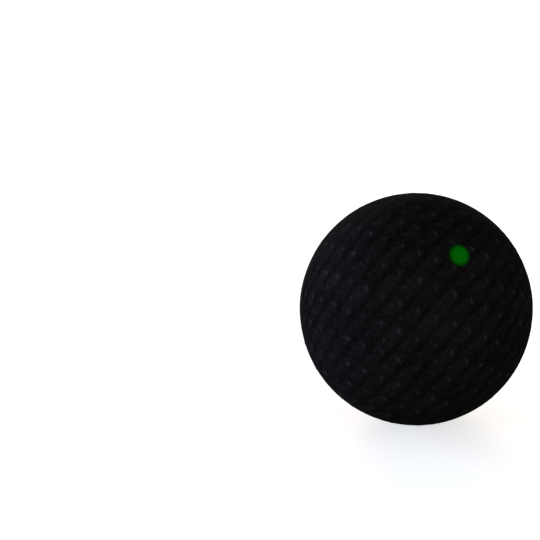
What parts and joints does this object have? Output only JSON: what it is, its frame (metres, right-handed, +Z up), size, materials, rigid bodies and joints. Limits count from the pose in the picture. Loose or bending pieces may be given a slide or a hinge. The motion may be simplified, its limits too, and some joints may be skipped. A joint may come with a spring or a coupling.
{
  "type": "squash ball",
  "caption": "Hollow matt black rubber ball, made of half shells bonded rim to rim, with a printed green grade dot, for a racket game on a walled court.",
  "frame": {"origin": "the centre of the ball", "axes": "+Y is the axis that both half shells were moulded about, so the seam lies in the XZ plane and the front half shell, which carries the dot, faces -Y; +Z is up, with the dot on the upper right as seen from -Y"},
  "size_m": [0.04, 0.04, 0.04],
  "materials": {
    "shell_rubber": "matte",
    "bond_rubber": "satin",
    "dot_ink": "matte"
  },
  "bodies": {
    "root": {"front_half_shell": "shell_rubber", "rear_half_shell": "shell_rubber", "seam_bond": "bond_rubber", "grade_dot": "dot_ink"}
  },
  "joints": []
}
